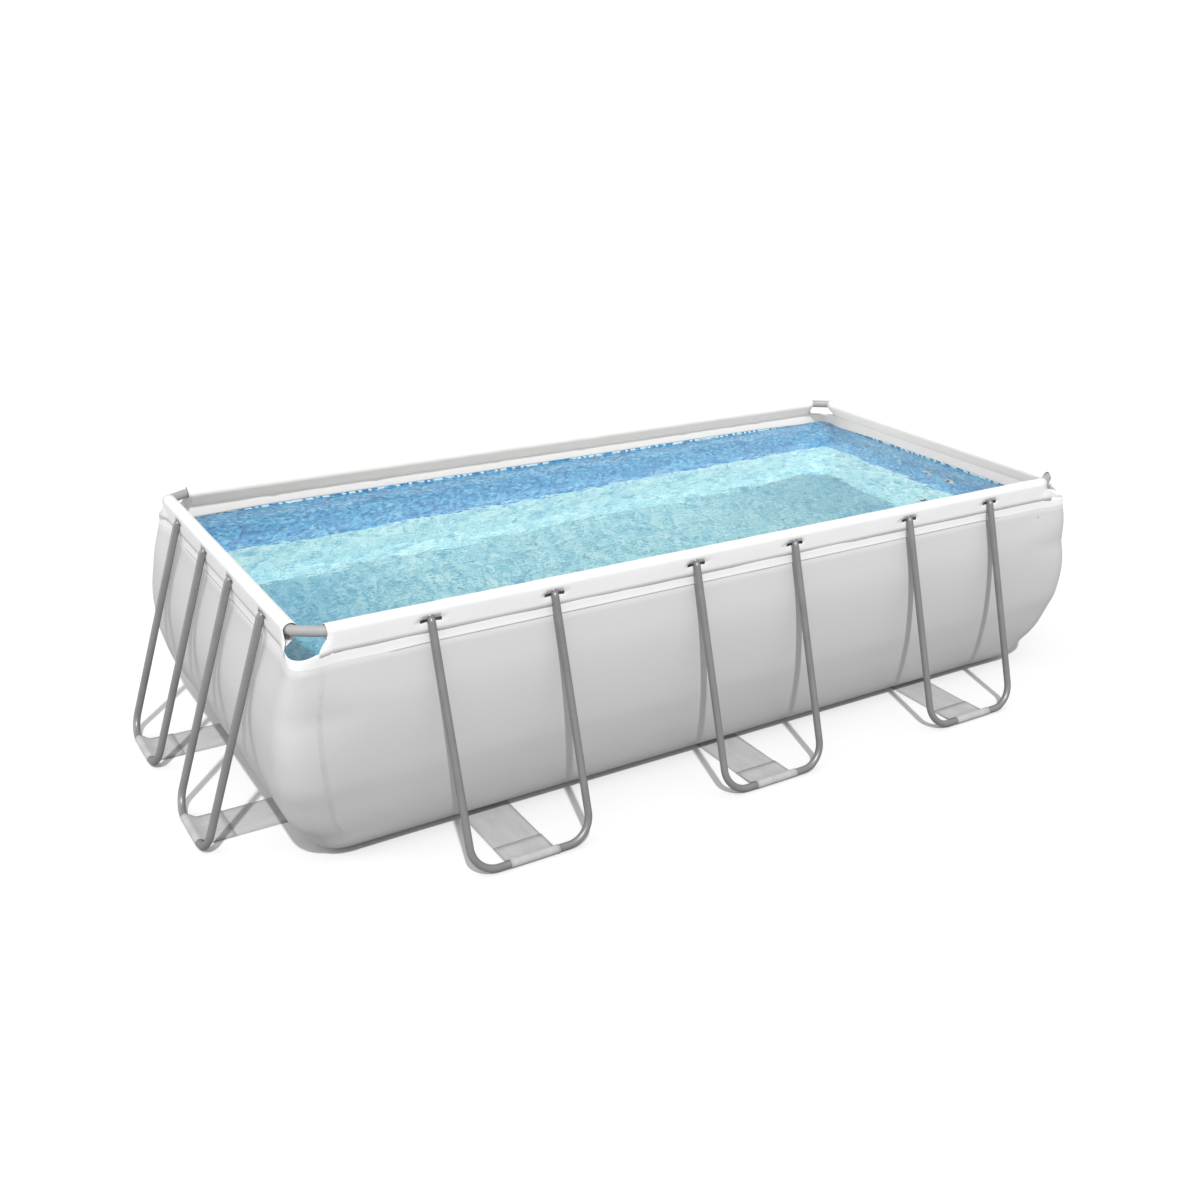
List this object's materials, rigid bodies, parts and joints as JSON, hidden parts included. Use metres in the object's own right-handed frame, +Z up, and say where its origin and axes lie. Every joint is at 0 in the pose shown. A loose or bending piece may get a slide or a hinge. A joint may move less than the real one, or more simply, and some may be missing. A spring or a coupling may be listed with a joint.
{
  "type": "above-ground frame pool",
  "caption": "Rectangular above-ground pool: fabric-backed PVC liner hung from a tubular steel rail frame with U-shaped side supports, ground straps, pump ports and a drain valve.",
  "frame": {"origin": "on the ground at the centre of the footprint", "axes": "+X along the length (towards the end with the pump ports), -Y the front long side, +Z up"},
  "size_m": [4.7086, 2.5586, 1.0439],
  "materials": {
    "steel_tube": "satin grey powder coat",
    "joint_plastic": "moulded, fine texture",
    "sleeve_pvc": "smooth laminated sheet",
    "wall_pvc": "laminated sheet, grey outside, printed blue inside",
    "floor_pvc": "printed blue tile pattern",
    "strap_webbing": "woven webbing",
    "pin_plastic": "moulded",
    "fitting_plastic": "moulded",
    "plug_plastic": "moulded",
    "seal_rubber": "matte"
  },
  "bodies": {
    "pool": {"corner_joint_back_left": "joint_plastic", "corner_joint_back_right": "joint_plastic", "corner_joint_front_left": "joint_plastic", "corner_joint_front_right": "joint_plastic", "drain_body": "fitting_plastic", "drain_gasket": "seal_rubber", "floor_sheet": "floor_pvc", "port_gasket_inlet": "seal_rubber", "port_gasket_outlet": "seal_rubber", "port_nut_inlet": "fitting_plastic", "port_nut_outlet": "fitting_plastic", "pump_port_inlet": "fitting_plastic", "pump_port_outlet": "fitting_plastic", "rail_back_left": "steel_tube", "rail_back_middle": "steel_tube", "rail_back_right": "steel_tube", "rail_front_left": "steel_tube", "rail_front_middle": "steel_tube", "rail_front_right": "steel_tube", "rail_left_left": "steel_tube", "rail_left_right": "steel_tube", "rail_pins": "pin_plastic", "rail_right_left": "steel_tube", "rail_right_right": "steel_tube", "sleeve_back": "sleeve_pvc", "sleeve_front": "sleeve_pvc", "sleeve_left": "sleeve_pvc", "sleeve_right": "sleeve_pvc", "strap_across_left": "strap_webbing", "strap_across_middle": "strap_webbing", "strap_across_right": "strap_webbing", "strap_along_back": "strap_webbing", "strap_along_front": "strap_webbing", "support_back_left": "steel_tube", "support_back_middle": "steel_tube", "support_back_right": "steel_tube", "support_front_left": "steel_tube", "support_front_middle": "steel_tube", "support_front_right": "steel_tube", "support_left_left": "steel_tube", "support_left_right": "steel_tube", "support_right_left": "steel_tube", "support_right_right": "steel_tube", "wall_back": "wall_pvc", "wall_corner_back_left": "wall_pvc", "wall_corner_back_right": "wall_pvc", "wall_corner_front_left": "wall_pvc", "wall_corner_front_right": "wall_pvc", "wall_front": "wall_pvc", "wall_left": "wall_pvc", "wall_right": "wall_pvc"},
    "cap_seal": {"drain_cap_seal": "seal_rubber"},
    "cap": {"drain_cap": "plug_plastic"},
    "plug": {"drain_plug": "plug_plastic"},
    "stopper_inlet": {"port_stopper_inlet": "plug_plastic"},
    "stopper_outlet": {"port_stopper_outlet": "plug_plastic"}
  },
  "joints": [
    {"name": "cap_rise", "type": "slide", "parent": "pool", "child": "cap_seal", "axis": [0.8224, 0, -0.5689], "range_m": [0, 0.0121]},
    {"name": "cap_turn", "type": "hinge", "parent": "cap_seal", "child": "cap", "pos_m": [2.0085, 0, 0.13], "axis": [0.8224, 0, -0.5689], "range_deg": [0, 1440]},
    {"name": "plug_pull", "type": "slide", "parent": "pool", "child": "plug", "axis": [-0.8224, 0, 0.5689], "range_m": [0, 0.03]},
    {"name": "stopper_inlet_pull", "type": "slide", "parent": "pool", "child": "stopper_inlet", "axis": [-1, 0, 0], "range_m": [0, 0.04]},
    {"name": "stopper_outlet_pull", "type": "slide", "parent": "pool", "child": "stopper_outlet", "axis": [-1, 0, 0], "range_m": [0, 0.04]}
  ],
  "couplings": [
    {"joint": "cap_rise", "follows": "cap_turn", "m_per_rad": 0.00047746}
  ]
}
